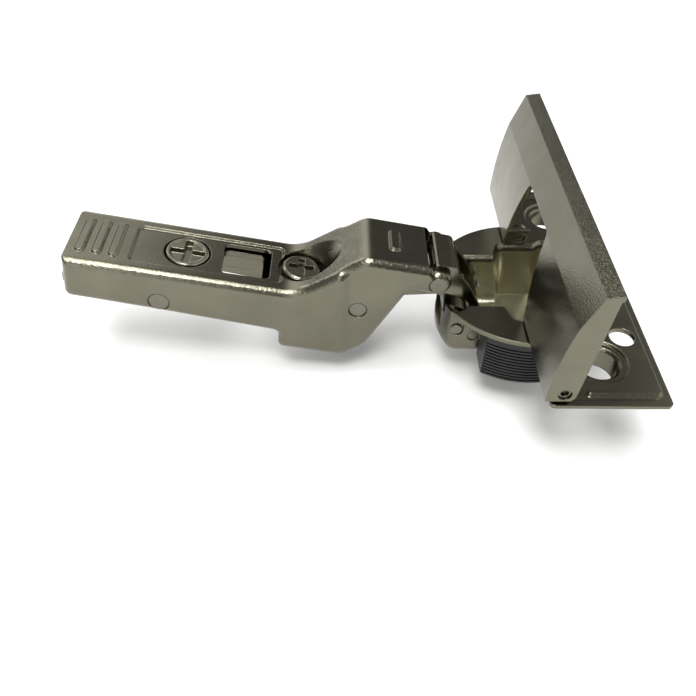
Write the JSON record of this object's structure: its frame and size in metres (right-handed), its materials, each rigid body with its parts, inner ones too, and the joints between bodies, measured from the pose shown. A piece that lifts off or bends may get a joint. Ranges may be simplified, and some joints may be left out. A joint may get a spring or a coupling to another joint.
{
  "type": "concealed cup hinge",
  "caption": "Concealed hinge: adjustable cranked arm, two links, round cup with collared flange, expanding jaws and a raised fold-down locking flap.",
  "frame": {"origin": "axis of the door's cup drilling, at the door's face (underside of the flange)", "axes": "+X from the arm to the cup's flange, +Z out of the door's face, Y along the pivots; about 80 degrees open"},
  "size_m": [0.1112, 0.066, 0.0383],
  "materials": {
    "nickel_sheet": "nickel-plated pressed steel, bright",
    "pin_steel": "nickel-plated, satin",
    "screw_steel": "nickel-plated, bright",
    "spring_steel": "oiled spring wire",
    "jaw_plastic": "black, moulded"
  },
  "bodies": {
    "adapter": {"adapter": "nickel_sheet", "release_spring": "spring_steel"},
    "arm": {"arm_shell": "nickel_sheet", "tip_pin": "pin_steel", "arm_pin": "pin_steel", "rear_pin": "pin_steel", "spacer_bushes": "pin_steel"},
    "depth_cam": {"depth_cam": "screw_steel", "cam_washer": "pin_steel"},
    "overlay_screw": {"overlay_screw": "screw_steel"},
    "release_lever": {"release_lever": "nickel_sheet"},
    "outer_link": {"outer_link": "nickel_sheet"},
    "cup": {"cup": "nickel_sheet", "cup_pin_outer": "pin_steel", "cup_pin_inner": "pin_steel", "closing_springs": "spring_steel", "flap_pins": "pin_steel"},
    "inner_link": {"inner_link": "nickel_sheet"},
    "flap": {"flap": "nickel_sheet"},
    "jaw_far": {"jaw_far": "jaw_plastic"},
    "jaw_near": {"jaw_near": "jaw_plastic"}
  },
  "joints": [
    {"name": "arm_tilt", "type": "hinge", "parent": "adapter", "child": "arm", "pos_m": [-0.07291, 0, 0.00159], "axis": [0, -1, 0], "range_deg": [-1.8, 1.8]},
    {"name": "depth_cam_turn", "type": "hinge", "parent": "adapter", "child": "depth_cam", "pos_m": [-0.06771, 0, 0.00764], "axis": [0.184, 0, 0.9829], "range_deg": [-90, 90]},
    {"name": "overlay_screw_turn", "type": "hinge", "parent": "adapter", "child": "overlay_screw", "pos_m": [-0.04578, 0, 0.00252], "axis": [0.184, 0, 0.9829], "range_deg": [-302, 302]},
    {"name": "release_lever_press", "type": "hinge", "parent": "adapter", "child": "release_lever", "pos_m": [-0.07291, 0, 0.00159], "axis": [0, 1, 0], "range_deg": [0, 8], "stiffness_Nm_per_rad": 0.05, "springref_deg": -11.46, "deforming": ["release_spring"]},
    {"name": "outer_link_swing", "type": "hinge", "parent": "arm", "child": "outer_link", "pos_m": [-0.01875, 0, 0.0056], "axis": [0, -1, 0], "range_deg": [-10.7, 2.9]},
    {"name": "cup_swing", "type": "hinge", "parent": "outer_link", "child": "cup", "pos_m": [-0.0105, 0, -0.0068], "axis": [0, -1, 0], "range_deg": [-18.3, 70], "deforming": ["closing_springs"]},
    {"name": "inner_link_swing", "type": "hinge", "parent": "cup", "child": "inner_link", "pos_m": [-0.0142, 0, -0.0052], "axis": [0, -1, 0], "range_deg": [-74.4, 19.6]},
    {"name": "flap_swing", "type": "hinge", "parent": "cup", "child": "flap", "pos_m": [0.0005, 0, 0.0031], "axis": [0, 1, 0], "range_deg": [-8, 86]},
    {"name": "jaw_far_slide", "type": "slide", "parent": "cup", "child": "jaw_far", "axis": [0, 1, 0], "range_m": [-0.0001, 0.00085]},
    {"name": "jaw_near_slide", "type": "slide", "parent": "cup", "child": "jaw_near", "axis": [0, -1, 0], "range_m": [-0.0001, 0.00085]}
  ],
  "couplings": [
    {"joint": "outer_link_swing", "follows": "cup_swing", "ratio": -0.1511},
    {"joint": "inner_link_swing", "follows": "cup_swing", "ratio": -1.0608},
    {"joint": "overlay_screw_turn", "follows": "arm_tilt", "ratio": -166.5},
    {"joint": "jaw_far_slide", "follows": "flap_swing", "m_per_rad": 0.000533},
    {"joint": "jaw_near_slide", "follows": "flap_swing", "m_per_rad": 0.000533}
  ]
}
